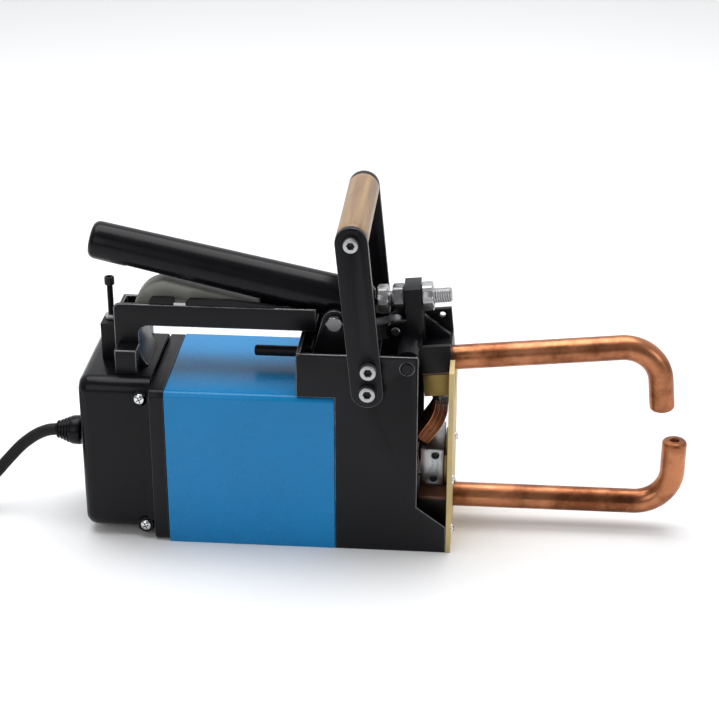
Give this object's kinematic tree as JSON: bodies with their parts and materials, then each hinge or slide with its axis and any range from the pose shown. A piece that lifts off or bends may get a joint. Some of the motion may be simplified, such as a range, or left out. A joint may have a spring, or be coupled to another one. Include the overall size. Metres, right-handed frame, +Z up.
{
  "type": "portable spot welder",
  "caption": "Hand-held spot welder: cased transformer, squeeze lever over a fixed handle, bent copper electrode arms, carrying handle and mains lead.",
  "frame": {"origin": "on the underside of the bottom plate, on the centre plane, in the middle of the casing", "axes": "+X towards the electrode arms, +Z up, -Y the near side with the pivot screws in view"},
  "size_m": [0.606, 0.1232, 0.224],
  "materials": {
    "blue_paint": "gloss powder coat",
    "black_paint": "semi-gloss paint",
    "black_moulding": "glossy moulding",
    "black_rubber": "matt",
    "copper": "drawn rod",
    "brass": "machined",
    "zinc": "bright zinc plate",
    "steel": "plain steel",
    "aluminium": "machined",
    "insulating_board": "laminated board",
    "bakelite": "pressed laminate",
    "wood": "varnished",
    "grey_moulding": "satin moulding"
  },
  "bodies": {
    "housing": {"bottom_plate": "black_paint", "blue_cover": "blue_paint", "rear_frame": "black_paint", "rear_cover": "black_moulding", "side_plate_near": "black_paint", "side_plate_far": "black_paint", "tower_deck": "black_paint", "pivot_bracket": "black_paint", "lever_pivot_pin": "steel", "rocker_pivot_pin": "black_paint", "stub_rod": "black_rubber", "return_spring": "steel", "front_board": "insulating_board", "shunt_terminal": "aluminium", "contact_strip": "brass", "insulating_shelf": "bakelite", "lower_clamp": "steel", "flexible_shunt": "copper", "transformer_core": "steel", "primary_coil": "copper", "secondary_bar": "copper", "power_relay": "grey_moulding", "handle_frame": "black_paint", "foot_lug_near": "black_paint", "foot_lug_far": "black_paint", "pad_rear": "black_rubber", "pad_front": "black_rubber", "switch_housing": "grey_moulding", "microswitch": "black_moulding", "stop_block": "black_paint", "stop_lock_nut": "zinc", "carry_arm_near": "black_paint", "carry_arm_far": "black_paint", "wood_grip": "wood", "arm_screw_near_1": "zinc", "arm_screw_near_2": "zinc", "arm_screw_far_1": "zinc", "arm_screw_far_2": "zinc", "gland_body": "black_moulding", "gland_cap": "black_moulding", "cord_run": "black_rubber", "cord_coil": "black_rubber", "cord_tail": "black_rubber", "plug": "black_rubber"},
    "lever": {"lever": "black_moulding", "link_pin_rear": "steel"},
    "push_link": {"push_link": "steel"},
    "rocker": {"rocker_frame": "black_paint", "clamp_liner": "bakelite", "brass_clamp": "brass", "clamp_bolt_near": "steel", "clamp_bolt_far": "steel", "link_pin_front": "steel", "adjusting_nut_rear": "steel", "adjusting_nut_front": "zinc"},
    "upper_arm": {"upper_arm": "copper"},
    "adjusting_bolt": {"adjusting_bolt": "zinc"},
    "lower_arm": {"lower_arm": "copper"},
    "stop_screw": {"stop_screw": "black_paint"},
    "switch_plunger": {"switch_plunger": "black_rubber"}
  },
  "joints": [
    {"name": "lever_pivot", "type": "hinge", "parent": "housing", "child": "lever", "pos_m": [0.024, 0, 0.149], "axis": [0, 1, 0], "range_deg": [-4, 0], "stiffness_Nm_per_rad": 12, "springref_deg": 11.46},
    {"name": "rocker_pivot", "type": "hinge", "parent": "housing", "child": "rocker", "pos_m": [0.071, 0, 0.13], "axis": [0, 1, 0], "range_deg": [0, 7.2]},
    {"name": "link_pivot", "type": "hinge", "parent": "lever", "child": "push_link", "pos_m": [0.025, 0, 0.1285], "axis": [0, 1, 0], "range_deg": [0, 2.5]},
    {"name": "upper_arm_slide", "type": "slide", "parent": "rocker", "child": "upper_arm", "axis": [0.9949, 0, 0.1011], "range_m": [-0.002, 0.008]},
    {"name": "lower_arm_slide", "type": "slide", "parent": "housing", "child": "lower_arm", "axis": [1, 0, 0], "range_m": [-0.01, 0.01]},
    {"name": "adjusting_bolt_travel", "type": "slide", "parent": "rocker", "child": "adjusting_bolt", "axis": [0.9949, 0, 0.1011], "range_m": [-0.001, 0.0025]},
    {"name": "stop_screw_travel", "type": "slide", "parent": "housing", "child": "stop_screw", "axis": [0, 0, 1], "range_m": [-0.008, 0]},
    {"name": "switch_plunger_travel", "type": "slide", "parent": "housing", "child": "switch_plunger", "axis": [0, 0, 1], "range_m": [-0.0018, 0]}
  ],
  "couplings": [
    {"joint": "rocker_pivot", "follows": "lever_pivot", "ratio": -1.8},
    {"joint": "link_pivot", "follows": "lever_pivot", "ratio": -0.61},
    {"joint": "switch_plunger_travel", "follows": "lever_pivot", "m_per_rad": 0.0243}
  ]
}
